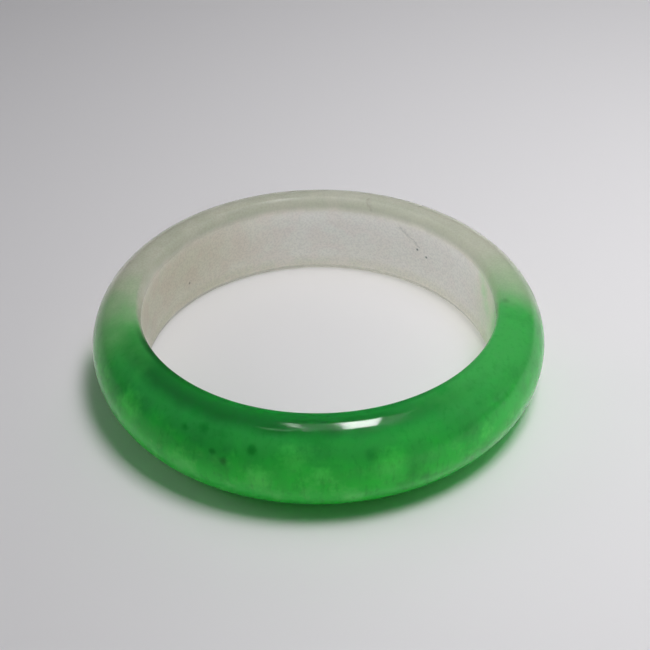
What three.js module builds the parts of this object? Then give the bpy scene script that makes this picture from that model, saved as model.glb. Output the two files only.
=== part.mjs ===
// A bangle bracelet carved from one piece of jade.
//
// Millimetres, +Z up. The bangle lies flat: its axis is the Z axis, and the origin is the centre
// of the circle that it rests on, so it stands on z = 0. It has no clasp, hinge or setting, so
// the whole object is one solid. Its section is a D: a straight wall on the wrist side with a
// rounded corner at each end, a narrow flat land above and below, and an outer dome that is half
// of an ellipse.

import * as THREE from 'three';

// Driving dimensions
const WRIST_DIAMETER = 56; // across the hole
const WALL = 8; // from the hole to the widest part of the dome
const HEIGHT = 14.8; // along the axis
const CORNER_DEPTH = 0.8; // what the rounded wrist-side corner takes off the land
const CORNER_RISE = 2; // what it takes off the straight wall
const LAND = 0.6; // width of the flat ring between the corner and the dome

// Facets
const TURN_STEPS = 96; // round the ring
const CORNER_STEPS = 4; // round each wrist-side corner
const DOME_STEPS = 20; // over the dome, from the upper land to the lower one

// Worked out from the dimensions
const INNER_RADIUS = WRIST_DIAMETER / 2;
const LAND_RADIUS = INNER_RADIUS + CORNER_DEPTH;
const DOME_RADIUS = LAND_RADIUS + LAND;
const DOME_DEPTH = WALL - CORNER_DEPTH - LAND;

// Points on an ellipse about (centre.x, centre.y), from one angle to another, both ends included.
function ellipseArc(centre, halfWidth, halfHeight, from, to, steps) {
  const points = [];
  for (let step = 0; step <= steps; step += 1) {
    const angle = THREE.MathUtils.lerp(from, to, step / steps);
    const x = centre.x + halfWidth * Math.cos(angle);
    const y = centre.y + halfHeight * Math.sin(angle);
    points.push(new THREE.Vector2(x, y));
  }
  return points;
}

// The dome, from the lower land out to the widest point and in again to the upper land.
function dome() {
  const centre = new THREE.Vector2(DOME_RADIUS, HEIGHT / 2);
  return ellipseArc(centre, DOME_DEPTH, HEIGHT / 2, -0.5 * Math.PI, 0.5 * Math.PI, DOME_STEPS);
}

// The rounded corner from the upper land down to the straight wall.
function upperCorner() {
  const centre = new THREE.Vector2(LAND_RADIUS, HEIGHT - CORNER_RISE);
  return ellipseArc(centre, CORNER_DEPTH, CORNER_RISE, 0.5 * Math.PI, Math.PI, CORNER_STEPS);
}

// The rounded corner from the straight wall down to the lower land.
function lowerCorner() {
  const centre = new THREE.Vector2(LAND_RADIUS, CORNER_RISE);
  return ellipseArc(centre, CORNER_DEPTH, CORNER_RISE, Math.PI, 1.5 * Math.PI, CORNER_STEPS);
}

// The closed D section: x is the distance from the axis and y is the height. The two lands and
// the straight wall are the gaps between the three arcs.
function section() {
  const outline = [...dome(), ...upperCorner(), ...lowerCorner()];
  return [...outline, outline[0].clone()];
}

// The section turned round the Z axis.
function bangleGeometry() {
  const geometry = new THREE.LatheGeometry(section(), TURN_STEPS);
  return geometry.rotateX(Math.PI / 2);
}

// Polished green jade.
function jade() {
  return new THREE.MeshStandardMaterial({ color: 0x2f9a45, roughness: 0.12, metalness: 0 });
}

function makeBangle() {
  const bangle = new THREE.Mesh(bangleGeometry(), jade());
  bangle.name = 'bangle';
  return bangle;
}

const bracelet = new THREE.Group();
bracelet.add(makeBangle());

export default bracelet;
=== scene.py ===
"""A jade bangle bracelet: the fine surface, the stone's material, and a small studio round it.

Metres, +Z up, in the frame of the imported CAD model: the bangle lies flat on z = 0 and its axis is
the Z axis. Inside the jade material lengths are millimetres and angles are degrees from the
middle of the green arc, which faces -Y; they grow anticlockwise as seen from above, towards +X.
"""

import math

import bpy
from mathutils import Matrix, Quaternion, Vector


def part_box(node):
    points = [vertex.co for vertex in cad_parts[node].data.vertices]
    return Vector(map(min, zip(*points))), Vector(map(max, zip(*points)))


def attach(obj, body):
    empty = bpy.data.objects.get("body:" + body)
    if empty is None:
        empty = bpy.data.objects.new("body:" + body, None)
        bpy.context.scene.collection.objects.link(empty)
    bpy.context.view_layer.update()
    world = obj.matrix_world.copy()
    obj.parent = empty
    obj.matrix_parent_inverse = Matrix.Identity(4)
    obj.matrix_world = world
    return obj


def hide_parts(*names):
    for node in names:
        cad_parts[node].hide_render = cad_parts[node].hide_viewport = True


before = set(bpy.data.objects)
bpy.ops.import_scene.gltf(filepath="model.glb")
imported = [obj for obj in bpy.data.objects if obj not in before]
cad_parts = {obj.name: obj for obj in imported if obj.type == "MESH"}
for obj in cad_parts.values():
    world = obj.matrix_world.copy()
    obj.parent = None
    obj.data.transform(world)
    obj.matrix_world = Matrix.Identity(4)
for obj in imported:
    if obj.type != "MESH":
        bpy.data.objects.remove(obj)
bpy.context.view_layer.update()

MM = 0.001

# The bangle, from the CAD solid's box and the sizes of its D section
LOW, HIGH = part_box("bangle")
OUTER_RADIUS = (HIGH.x - LOW.x) / 2
HEIGHT = HIGH.z - LOW.z
WALL = 8 * MM  # from the wrist hole to the widest part of the dome
CORNER_DEPTH = 0.8 * MM  # the rounded wrist-side corner, along the radius
CORNER_RISE = 2 * MM  # the same corner, along the axis
LAND = 0.6 * MM  # the flat ring between the corner and the dome
INNER_RADIUS = OUTER_RADIUS - WALL
LAND_RADIUS = INNER_RADIUS + CORNER_DEPTH
DOME_RADIUS = LAND_RADIUS + LAND
DOME_DEPTH = OUTER_RADIUS - DOME_RADIUS

# How many facets the fine surface has round the ring, and along each stretch of its section
TURN_STEPS = 384
DOME_STEPS = 72
CORNER_STEPS = 12
WALL_STEPS = 18
LAND_STEPS = 2

# The camera
CAMERA_DISTANCE = 228.7 * MM
CAMERA_ELEVATION = math.radians(39.0)
CAMERA_AIM = Vector((1.1 * MM, 11.3 * MM, 0))
CAMERA_ROLL = math.radians(-0.4)
CAMERA_SENSOR = 36  # its width, in mm as Blender takes it
CAMERA_LENS = 77.2  # in mm too
CAMERA_CLIP = (0.01, 20)

# The floor, and the even light all round
FLOOR_HALF = 4.0
FLOOR_TONE = (0.705, 0.695, 0.71, 1)
FLOOR_ROUGHNESS = 0.6
SURROUND_TONE = (0.93, 0.92, 1.0, 1)
SURROUND_STRENGTH = 0.075


def srgb(red, green, blue):
    """A colour as people read it on screen, 0 to 255, as the linear colour that Blender takes."""

    def linear(value):
        share = value / 255
        return share / 12.92 if share <= 0.04045 else ((share + 0.055) / 1.055) ** 2.4

    return (linear(red), linear(green), linear(blue), 1.0)


# ---------------------------------------------------------------- shape


def ellipse_arc(radius, height, half_width, half_height, start, end, steps):
    """(radius, height) points on an ellipse, from one angle in degrees to another, both included."""
    points = []
    for step in range(steps + 1):
        angle = math.radians(start + (end - start) * step / steps)
        points.append(
            (radius + half_width * math.cos(angle), height + half_height * math.sin(angle))
        )
    return points


def straight(first, last, steps):
    """The points between two ends of a straight stretch, without the ends."""
    shares = [step / steps for step in range(1, steps)]
    return [tuple(a + (b - a) * share for a, b in zip(first, last)) for share in shares]


def section():
    """The closed D section, anticlockwise: dome, upper land and corner, wall, lower corner and land."""
    dome = ellipse_arc(DOME_RADIUS, HEIGHT / 2, DOME_DEPTH, HEIGHT / 2, -90, 90, DOME_STEPS)
    top = HEIGHT - CORNER_RISE
    upper = ellipse_arc(LAND_RADIUS, top, CORNER_DEPTH, CORNER_RISE, 90, 180, CORNER_STEPS)
    lower = ellipse_arc(
        LAND_RADIUS, CORNER_RISE, CORNER_DEPTH, CORNER_RISE, 180, 270, CORNER_STEPS
    )
    outline = list(dome)
    outline += straight(dome[-1], upper[0], LAND_STEPS) + upper
    outline += straight(upper[-1], lower[0], WALL_STEPS) + lower
    outline += straight(lower[-1], dome[0], LAND_STEPS)
    return outline


def make_bangle():
    """The D section turned round the Z axis, as one closed smooth mesh."""
    outline = section()
    count = len(outline)
    vertices = []
    for turn in range(TURN_STEPS):
        angle = 2 * math.pi * turn / TURN_STEPS
        cos, sin = math.cos(angle), math.sin(angle)
        vertices += [(radius * cos, radius * sin, height) for radius, height in outline]
    faces = []
    for turn in range(TURN_STEPS):
        here, there = turn * count, (turn + 1) % TURN_STEPS * count
        for point in range(count):
            after = (point + 1) % count
            faces.append((here + point, there + point, there + after, here + after))
    mesh = bpy.data.meshes.new("bangle_stone")
    mesh.from_pydata(vertices, [], faces)
    mesh.shade_smooth()
    mesh.validate()
    bangle = bpy.data.objects.new("bangle_stone", mesh)
    bpy.context.scene.collection.objects.link(bangle)
    return bangle


# ---------------------------------------------------------------- material nodes


class Tree:
    """Adds nodes to a material, so that a formula in nodes reads as nested calls."""

    def __init__(self, name):
        self.material = bpy.data.materials.new(name)
        self.material.use_nodes = True
        self.nodes = self.material.node_tree.nodes
        self.links = self.material.node_tree.links
        self.shader = self.nodes["Principled BSDF"]
        self.surface = self.nodes["Material Output"].inputs["Surface"]

    def put(self, socket, value):
        """Fills a socket, with a link from another node's output or with a plain value."""
        if isinstance(value, bpy.types.NodeSocket):
            self.links.new(value, socket)
        else:
            socket.default_value = value

    def node(self, kind, **settings):
        made = self.nodes.new(kind)
        for key, value in settings.items():
            setattr(made, key, value)
        return made

    def math(self, operation, a, b=0.0, c=0.0):
        made = self.node("ShaderNodeMath", operation=operation)
        for socket, value in zip(made.inputs, (a, b, c)):
            self.put(socket, value)
        return made.outputs[0]

    def add(self, a, b):
        return self.math("ADD", a, b)

    def subtract(self, a, b):
        return self.math("SUBTRACT", a, b)

    def times(self, a, b):
        return self.math("MULTIPLY", a, b)

    def ramp(self, value, low, high, to_low=0.0, to_high=1.0):
        """A smooth step from to_low at low to to_high at high, and level beyond both."""
        made = self.node("ShaderNodeMapRange", interpolation_type="SMOOTHSTEP")
        for socket, item in zip(made.inputs, (value, low, high, to_low, to_high)):
            self.put(socket, item)
        return made.outputs[0]

    def between(self, value, low, high, soft_low, soft_high):
        """1 between low and high, fading to 0 over soft_low and soft_high centred on them."""
        rise = self.ramp(value, low - soft_low / 2, low + soft_low / 2)
        fall = self.ramp(value, high - soft_high / 2, high + soft_high / 2, 1.0, 0.0)
        return self.times(rise, fall)

    def blend(self, share, a, b, mode="MIX"):
        """Colour a at a share of 0 and, in the plain mode, colour b at a share of 1."""
        made = self.node("ShaderNodeMix", data_type="RGBA", blend_type=mode)
        self.put(made.inputs["Factor"], share)
        self.put(made.inputs[6], a)  # the colour sockets share their names with other types'
        self.put(made.inputs[7], b)
        return made.outputs[2]

    def vector_math(self, operation, a, b):
        made = self.node("ShaderNodeVectorMath", operation=operation)
        self.put(made.inputs[0], a)
        self.put(made.inputs[1], b)
        return made.outputs

    def stretch(self, vector, scale):
        return self.vector_math("MULTIPLY", vector, scale)["Vector"]

    def shift(self, vector, offset):
        return self.vector_math("ADD", vector, offset)["Vector"]

    def dot(self, a, b):
        return self.vector_math("DOT_PRODUCT", a, b)["Value"]

    def distance(self, a, b):
        return self.vector_math("DISTANCE", a, b)["Value"]

    def noise(self, vector, size, detail=2.0, roughness=0.5, seed=0.0):
        """Soft noise about 0.5, with lumps of about that size in mm; each seed is a far place."""
        made = self.node("ShaderNodeTexNoise")
        far_place = (seed * 37.0, seed * 17.0, seed * 53.0)
        self.put(made.inputs["Vector"], self.shift(vector, far_place))
        self.put(made.inputs["Scale"], 1 / size)
        self.put(made.inputs["Detail"], detail)
        self.put(made.inputs["Roughness"], roughness)
        return made.outputs["Fac"]


# ---------------------------------------------------------------- jade

# The section's radii again, in the material's millimetres
WALL_RADIUS = INNER_RADIUS / MM
RIM_RADIUS = LAND_RADIUS / MM

# The wrist wall's own look fades out between these heights, below the rounded top corner
WALL_LOOK_TOP, WALL_LOOK_END = 11.4, 13.5

# Where the green arc ends, in degrees of turn, and how wide the fade is there
WEST_EDGE, WEST_FADE = -85, 46
WEST_LAG = 14  # on the wrist side the green starts this much nearer the front
EAST_EDGE, EAST_FADE = 88, 16
STAIN_EDGE, STAIN_FADE = 105, 30  # a faint green stain reaches past the east end
STAIN = 0.4

REFRACTION = 1.5
MIRROR_LEVEL = 0.22  # how strongly the polish mirrors, where 0.5 is what the refraction gives
POLISH = (0.05, 0.1)  # the roughness between the smears and on them
WALL_DULLNESS = 0.35  # what the wrist wall's roughness adds to that
LAP_STRENGTH = 0.05
LAP_DEPTH = 0.03 * MM

CLEAR_SHARE = 0.05  # of the light that enters, the part that isn't scattered
REACH = 40 * MM  # how far light scatters in the stone, times these shares by colour
PALE_REACH = (1.0, 1.0, 0.95, 1)
GREEN_REACH = (0.18, 0.5, 0.2, 1)
PALE_GLOW = (0.92, 0.92, 0.88, 1)  # what each surface lets through of a lamp's light
GREEN_GLOW = (0.05, 0.32, 0.08, 1)
EAST_GLOW = (0.3, 0.62, 0.34, 1)
BLACK = (0, 0, 0, 1)

# The crest green is painted shade, darkening the top of the green arc
CREST_SHADE_GREEN = srgb(28, 101, 48)
DEEP_GREEN = srgb(44, 148, 70)
CLEAR_GREEN = srgb(44, 212, 72)
EAST_GREEN = srgb(70, 164, 84)
EAST_CLEAR = srgb(66, 206, 90)
WEST_GREEN = srgb(70, 158, 80)
WEST_CLEAR = srgb(74, 190, 86)
# Painted shade for the green arc's wrist-side corner
RIM_SHADE_GREEN = srgb(14, 60, 30)
CLOUD_GREEN = srgb(98, 226, 104)
DARK_GREEN = srgb(14, 118, 44)
PALE_WALL = srgb(255, 248, 234)
SHADED_PALE_DOME = srgb(169, 172, 154)
PALE_FOOT = srgb(226, 222, 192)
ROSE = srgb(252, 232, 222)
GREY = srgb(120, 120, 108)
SPECK = srgb(50, 56, 48)
WEST_SHADE_TONE = srgb(202, 204, 195)  # multiplies the pale stone's colour at its west end

# A patch fades between these shares of its size
PATCH_CORE, PATCH_EDGE = 0.1, 1.4

# Patches on the dome and the top: (turn in degrees, height in mm, size in mm, strength)
DARK_PATCHES = (
    (-33, 14.0, 1.2, 0.35),
    (-34, 12.4, 0.6, 0.7),
    (-29, 13.0, 0.8, 0.65),
    (-25.5, 10.7, 0.5, 0.7),
    (-22.5, 9.8, 0.7, 0.8),
    (-16, 12.1, 0.8, 0.75),
    (12, 11.6, 1.1, 0.4),
    (22, 8.2, 1.4, 0.35),
    (25, 6.2, 1.1, 0.3),
    (37, 14.8, 1.2, 0.5),
    (-79, 12.4, 0.5, 0.4),
    (85.5, 14.8, 0.65, 0.6),
)
LIGHT_CLOUDS = (
    (-14, 8.0, 2.2, 0.8),
    (0, 9.5, 1.6, 0.6),
    (7.5, 4.6, 1.9, 0.8),
    (-6, 11.5, 2.2, 0.4),
    (16, 9.8, 2.6, 0.5),
    (-34, 6.5, 2.6, 0.5),
    (-52, 10.5, 2.6, 0.35),
)
# Patches on the wrist wall, in the same form
DARK_SPECKS = ((142, 8.0, 0.24, 1.0), (138, 7.2, 0.24, 1.0), (-128, 4.8, 0.25, 0.8))
GREEN_STREAK = ((101, 8.0, 1.8, 0.2), (104, 10.2, 1.8, 0.3), (106, 12.2, 1.8, 0.3))

# Healed cracks, each with its two ends as turn and height: one on the wall, a short one on the rim
HAIRLINES = (((150, 11.4), (141, 8.4)), ((163, 14.8), (160.2, 13.2)))
HAIRLINE_WIDTH = 0.9
HAIRLINE_CROOK = 2.0  # how far the crack strays from a straight line
HAIRLINE_STRENGTH = 0.32


def dome_radius(height):
    """How far out the dome's surface is at that height, both in mm."""
    share = min(abs(2 * height * MM / HEIGHT - 1), 1)
    return (DOME_RADIUS + DOME_DEPTH * math.sqrt(1 - share * share)) / MM


def on_stone(turn, height, radius):
    """The point in mm at that turn, height and radius."""
    angle = math.radians(turn)
    return Vector((radius * math.sin(angle), -radius * math.cos(angle), height))


class Stone:
    """The places and masks in the stone that its colours are built on.

    place, height, radius, turn and across (the way from west to east) say where a point is;
    wobble and crumble are noise about 0; inside, wall, green and east are masks from 0 to 1.
    """

    def __init__(self, tree):
        self.tree = tree
        coordinates = tree.node("ShaderNodeTexCoord").outputs["Object"]
        self.place = tree.stretch(coordinates, (1 / MM,) * 3)
        split = tree.node("ShaderNodeSeparateXYZ")
        tree.put(split.inputs[0], self.place)
        x, y, self.height = split.outputs
        self.across = x
        self.turn = tree.math("DEGREES", tree.math("ARCTAN2", x, tree.times(y, -1.0)))
        self.radius = tree.math("SQRT", tree.add(tree.times(x, x), tree.times(y, y)))
        self.wobble = tree.subtract(tree.noise(self.place, 5.0, 3.0, seed=1), 0.5)
        self.crumble = tree.subtract(tree.noise(self.place, 1.3, 4.0, 0.6, seed=4), 0.5)
        self.inside = tree.ramp(self.radius, WALL_RADIUS + 0.1, RIM_RADIUS, 1.0, 0.0)
        below = tree.ramp(self.height, WALL_LOOK_TOP, WALL_LOOK_END, 1.0, 0.0)
        self.wall = tree.times(self.inside, below)
        self.green = self.green_share()
        self.east = tree.ramp(tree.add(self.turn, tree.times(self.wobble, 30.0)), 12.0, 62.0)

    def green_share(self):
        """1 in the green arc and 0 in the pale one, with a long west fade and a short east one."""
        tree = self.tree
        west_turn = tree.add(self.turn, tree.times(self.wobble, 16.0))
        west_turn = tree.subtract(west_turn, tree.times(self.inside, WEST_LAG))
        west = tree.ramp(west_turn, WEST_EDGE - WEST_FADE / 2, WEST_EDGE + WEST_FADE / 2)
        east_turn = tree.add(self.turn, tree.times(self.wobble, 9.0))
        start, end = EAST_EDGE - EAST_FADE / 2, EAST_EDGE + EAST_FADE / 2
        east = tree.ramp(east_turn, start, end, 1.0, STAIN)
        start, end = STAIN_EDGE - STAIN_FADE / 2, STAIN_EDGE + STAIN_FADE / 2
        stain = tree.ramp(east_turn, start, end, 1.0, 0.0)
        return tree.times(west, tree.times(east, stain))

    def patches(self, spots, on_wall=False, ragged=0.9):
        """Soft patches with ragged edges, and the strongest one where they overlap."""
        tree = self.tree
        strongest = 0.0
        for turn, height, size, strength in spots:
            radius = WALL_RADIUS if on_wall else dome_radius(height)
            away = tree.distance(self.place, on_stone(turn, height, radius))
            away = tree.add(away, tree.times(self.crumble, 2 * size * ragged))
            patch = tree.ramp(away, size * PATCH_CORE, size * PATCH_EDGE, strength, 0.0)
            strongest = tree.math("MAXIMUM", strongest, patch)
        return strongest

    def hairline(self, ends):
        """A thin crooked healed crack between two places on the wrist side."""
        tree = self.tree
        start, end = (on_stone(turn, height, WALL_RADIUS) for turn, height in ends)
        along = end - start
        across = along.cross(start.normalized()).normalized()
        from_start = tree.shift(self.place, -start)
        share = tree.dot(from_start, along / along.length_squared)
        side = tree.add(tree.dot(from_start, across), tree.times(self.crumble, HAIRLINE_CROOK))
        line = tree.ramp(tree.math("ABSOLUTE", side), 0.0, HAIRLINE_WIDTH / 2, 1.0, 0.0)
        length = tree.between(share, 0.0, 1.0, 0.2, 0.2)
        away = tree.distance(self.place, (start + end) / 2)
        near = tree.ramp(away, along.length * 0.7, along.length * 0.9, 1.0, 0.0)
        return tree.times(near, tree.times(line, length))


def green_body(stone, level):
    """Deep green along the crest and clearer below, partly as painted shade; painted shade on the crest
    and the wrist-side corner; tones of its own to the east and west.
    """
    tree = stone.tree
    # Darker towards the top: partly the stone's own layering, partly painted shade for light that
    # passes into the top
    colour = tree.blend(tree.ramp(level, 13.5, 6.0), DEEP_GREEN, CLEAR_GREEN)
    # Painted shade: the crest is darkened, as the top looks darker where light passes into the stone
    crest = tree.ramp(tree.add(stone.height, stone.wobble), 13.4, 14.6)
    crest = tree.times(crest, tree.ramp(stone.turn, -10.0, 30.0, 1.0, 0.75))
    colour = tree.blend(crest, colour, CREST_SHADE_GREEN)
    east_green = tree.blend(tree.ramp(level, 12.0, 8.0), EAST_GREEN, EAST_CLEAR)
    colour = tree.blend(tree.times(stone.east, 0.85), colour, east_green)
    west_turn = tree.add(stone.turn, tree.times(stone.wobble, 20.0))
    west_green = tree.blend(tree.ramp(level, 13.0, 9.0), WEST_GREEN, WEST_CLEAR)
    colour = tree.blend(tree.ramp(west_turn, -50.0, -80.0, 0.0, 0.9), colour, west_green)
    # Painted shade: the green arc's wrist-side corner is darkened, for the dark that its bevel mirrors
    rim = tree.ramp(stone.radius, RIM_RADIUS, RIM_RADIUS + 0.9, 0.9, 0.0)
    rim = tree.times(rim, tree.between(stone.turn, -70.0, 40.0, 20.0, 60.0))
    colour = tree.blend(rim, colour, RIM_SHADE_GREEN)
    middle = tree.between(stone.turn, -18.0, 30.0, 24.0, 16.0)
    middle = tree.times(middle, tree.ramp(stone.height, 14.2, 12.8, 0.0, 0.13))
    return tree.blend(middle, colour, CLOUD_GREEN)


def green_marks(stone, level, colour):
    """Light clouds low on the dome, darker shades and upright fibres, and then the dark patches."""
    tree = stone.tree
    clouds = tree.ramp(tree.noise(stone.place, 3.2, 5.0, 0.6, seed=2), 0.5, 0.72, 0.0, 0.55)
    clouds = tree.times(clouds, tree.ramp(level, 12.5, 8.5))
    colour = tree.blend(clouds, colour, CLOUD_GREEN)
    colour = tree.blend(stone.patches(LIGHT_CLOUDS), colour, CLOUD_GREEN)
    shades = tree.ramp(tree.noise(stone.place, 4.5, 4.0, 0.6, seed=3), 0.52, 0.74, 0.0, 0.32)
    colour = tree.blend(shades, colour, DARK_GREEN)
    fibres = tree.noise(tree.stretch(stone.place, (1.0, 1.0, 0.28)), 0.8, 3.0, 0.6, seed=5)
    colour = tree.blend(tree.ramp(fibres, 0.5, 0.75, 0.0, 0.24), colour, DARK_GREEN)
    return tree.blend(stone.patches(DARK_PATCHES), colour, DARK_GREEN)


def green_colour(stone):
    """The green arc's colour, in layers that follow the height with a wavy level, darker on top partly
    as painted shade.
    """
    level = stone.tree.add(stone.height, stone.tree.times(stone.wobble, 6.0))
    return green_marks(stone, level, green_body(stone, level))


def pale_body(stone):
    """Greyish white: on the wrist wall brighter, rosy and sugary, and yellower at its foot; the dome
    darker partly as painted shade, and painted shade at the west end.
    """
    tree = stone.tree
    # The dome is darker than the wall: partly the wall's duller, sugary finish, partly painted shade
    # for light that passes into the top
    colour = tree.blend(stone.wall, SHADED_PALE_DOME, PALE_WALL)
    foot = tree.times(stone.wall, tree.ramp(stone.height, 3.6, 1.2, 0.0, 0.7))
    colour = tree.blend(foot, colour, PALE_FOOT)
    rosy = tree.ramp(tree.noise(stone.place, 3.5, 1.5, seed=6), 0.4, 0.66, 0.0, 0.45)
    rosy = tree.times(rosy, tree.add(0.15, stone.wall))
    rosy = tree.times(rosy, tree.ramp(stone.across, 0.0, 16.0, 1.0, 0.45))
    colour = tree.blend(rosy, colour, ROSE)
    grain = tree.ramp(tree.noise(stone.place, 0.35, 1.0, seed=7), 0.35, 0.7, 0.0, 0.17)
    colour = tree.blend(grain, colour, GREY)
    # Painted shade: the pale stone is darkened towards its west end, the side that gets less light
    west = tree.ramp(stone.across, -24.0, 0.0, 1.0, 0.0)
    west = tree.times(west, tree.add(0.2, tree.times(stone.wall, 0.8)))
    return tree.blend(west, colour, WEST_SHADE_TONE, "MULTIPLY")


def pale_marks(stone, colour):
    """The green streak, the healed cracks, painted contact shade along the lower edge, and the dark
    specks.
    """
    tree = stone.tree
    streak = tree.times(stone.wall, stone.patches(GREEN_STREAK, on_wall=True, ragged=0.6))
    colour = tree.blend(streak, colour, CLEAR_GREEN)
    for ends in HAIRLINES:
        crack = tree.times(stone.hairline(ends), HAIRLINE_STRENGTH)
        colour = tree.blend(crack, colour, GREY)
    # Painted shade: greyed near the floor, for the dark contact line at the foot
    colour = tree.blend(tree.ramp(stone.height, 1.2, 0.5, 0.0, 0.8), colour, GREY)
    return tree.blend(stone.patches(DARK_SPECKS, on_wall=True, ragged=0.2), colour, SPECK)


def polish_bump(stone):
    """The faint lap marks of a hand polish: a fine grain on a slow swell."""
    tree = stone.tree
    grain = tree.times(tree.noise(stone.place, 0.4, 2.0, seed=8), 0.5)
    swell = tree.times(tree.noise(stone.place, 2.6, 2.0, seed=9), 1.5)
    bump = tree.node("ShaderNodeBump")
    tree.put(bump.inputs["Strength"], LAP_STRENGTH)
    tree.put(bump.inputs["Distance"], LAP_DEPTH)
    tree.put(bump.inputs["Height"], tree.add(grain, swell))
    return bump.outputs[0]


def roughness(stone):
    """Smeared polish, duller on the wrist wall."""
    tree = stone.tree
    smears = tree.ramp(tree.noise(stone.place, 2.0, 4.0, 0.6, seed=10), 0.3, 0.7, *POLISH)
    return tree.add(smears, tree.times(stone.wall, WALL_DULLNESS))


def glow(stone):
    """What a shadow ray meets: each surface lets some light through, tinted as the stone is."""
    tree = stone.tree
    green_glow = tree.blend(stone.east, GREEN_GLOW, EAST_GLOW)
    start = tree.times(stone.east, 0.2)
    full = tree.add(tree.times(stone.east, 0.5), 0.4)
    colour = tree.blend(tree.ramp(stone.green, start, full), PALE_GLOW, green_glow)
    # Less gets through near the floor, most of all in the green arc
    held_back = tree.add(0.15, tree.times(stone.green, 0.6))
    foot = tree.ramp(stone.height, 0.0, 5.0, held_back, 0.0)
    transparent = tree.node("ShaderNodeBsdfTransparent")
    tree.put(transparent.inputs["Color"], tree.blend(foot, colour, BLACK))
    return transparent.outputs[0]


def jade():
    """Translucent jade: part clear, part cloudy, and lamps shine through it and tint its shadow."""
    tree = Tree("jade")
    stone = Stone(tree)
    pale = pale_marks(stone, pale_body(stone))
    settings = {
        "Base Color": tree.blend(stone.green, pale, green_colour(stone)),
        "Roughness": roughness(stone),
        "Normal": polish_bump(stone),
        "IOR": REFRACTION,
        "Specular IOR Level": MIRROR_LEVEL,
        "Transmission Weight": CLEAR_SHARE,
        "Subsurface Weight": 1.0,
        "Subsurface Radius": tree.blend(stone.green, PALE_REACH, GREEN_REACH),
        "Subsurface Scale": REACH,
    }
    for name, value in settings.items():
        tree.put(tree.shader.inputs[name], value)
    shadow_ray = tree.node("ShaderNodeLightPath").outputs["Is Shadow Ray"]
    mix = tree.node("ShaderNodeMixShader")
    for socket, value in zip(mix.inputs, (shadow_ray, tree.shader.outputs[0], glow(stone))):
        tree.put(socket, value)
    tree.put(tree.surface, mix.outputs[0])
    return tree.material


# ---------------------------------------------------------------- studio


def make_floor():
    mesh = bpy.data.meshes.new("floor")
    corners = [(-1, -1), (1, -1), (1, 1), (-1, 1)]
    mesh.from_pydata([(x * FLOOR_HALF, y * FLOOR_HALF, 0) for x, y in corners], [], [(0, 1, 2, 3)])
    floor = bpy.data.objects.new("floor", mesh)
    bpy.context.scene.collection.objects.link(floor)
    tree = Tree("floor")
    tree.put(tree.shader.inputs["Base Color"], FLOOR_TONE)
    tree.put(tree.shader.inputs["Roughness"], FLOOR_ROUGHNESS)
    mesh.materials.append(tree.material)


def make_light(name, place, size, power, aim=None, spread=180, spin=0):
    """A rectangular light that faces aim, or straight down if there is none."""
    light = bpy.data.lights.new(name, "AREA")
    light.shape = "RECTANGLE"
    light.size, light.size_y = size
    light.energy = power
    light.spread = math.radians(spread)
    lamp = bpy.data.objects.new(name, light)
    lamp.location = place
    below = (place[0], place[1], 0)
    facing = (Vector(aim or below) - Vector(place)).to_track_quat("-Z", "Y")
    lamp.rotation_euler = (facing @ Quaternion((0, 0, 1), math.radians(spin))).to_euler()
    bpy.context.scene.collection.objects.link(lamp)
    return lamp


def soft_light(*args, **settings):
    """A light that the polish doesn't mirror."""
    make_light(*args, **settings).visible_glossy = False


def mirrored_light(*args, **settings):
    """A light that only shows as its mirror image in the polish."""
    lamp = make_light(*args, **settings)
    lamp.visible_diffuse = False
    lamp.visible_transmission = False


def make_lights():
    """The soft light on the stone and the floor, and the highlights of the front crest."""
    soft_light("lamp", (0.1, -0.03, 0.39), (0.13, 0.15), 0.46, aim=(0.13, 0.01, 0), spread=100)
    # The highlights: a bright bar, a comma with its tail, a thin line below them and a sheen
    mirrored_light("glint", (0.057, 0.055, 0.39), (0.052, 0.14), 0.87, spin=9)
    mirrored_light("comma", (-0.042, 0.095, 0.5), (0.02, 0.11), 0.07)
    mirrored_light("tail", (-0.03, 0.0, 0.5), (0.012, 0.1), 0.015)
    mirrored_light("thread", (-0.075, -0.04, 0.39), (0.06, 0.024), 0.013)
    mirrored_light("halo", (0.045, 0.06, 0.45), (0.2, 0.17), 0.16)
    # More soft light: over the floor's far right, through the stone from behind, and on the wall
    soft_light("shade", (0.13, 0.125, 0.5), (0.3, 0.31), 0.28)
    soft_light("back", (0.15, 0.4, 0.25), (0.2, 0.2), 0.14, aim=(0, 0, 0))
    soft_light("fill", (-0.3, 0.03, 0.16), (0.15, 0.15), 0.115, aim=(0, 0, 0))


def make_world():
    world = bpy.data.worlds.new("studio")
    bpy.context.scene.world = world
    world.use_nodes = True
    background = world.node_tree.nodes["Background"]
    background.inputs["Color"].default_value = SURROUND_TONE
    background.inputs["Strength"].default_value = SURROUND_STRENGTH


def make_camera():
    data = bpy.data.cameras.new("camera")
    data.sensor_width = CAMERA_SENSOR
    data.lens = CAMERA_LENS
    data.clip_start, data.clip_end = CAMERA_CLIP
    camera = bpy.data.objects.new("camera", data)
    place = Vector((0, -math.cos(CAMERA_ELEVATION), math.sin(CAMERA_ELEVATION))) * CAMERA_DISTANCE
    level = (CAMERA_AIM - place).to_track_quat("-Z", "Y").to_matrix().to_4x4()
    roll = Matrix.Rotation(CAMERA_ROLL, 4, "Z")
    camera.matrix_world = Matrix.Translation(place) @ level @ roll
    bpy.context.scene.collection.objects.link(camera)
    bpy.context.scene.camera = camera


def make_scene():
    scene = bpy.context.scene
    scene.view_settings.view_transform = "Standard"
    make_camera()
    make_world()
    make_lights()
    make_floor()
    bangle = make_bangle()
    bangle.data.materials.append(jade())
    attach(bangle, "root")
    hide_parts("bangle")


make_scene()
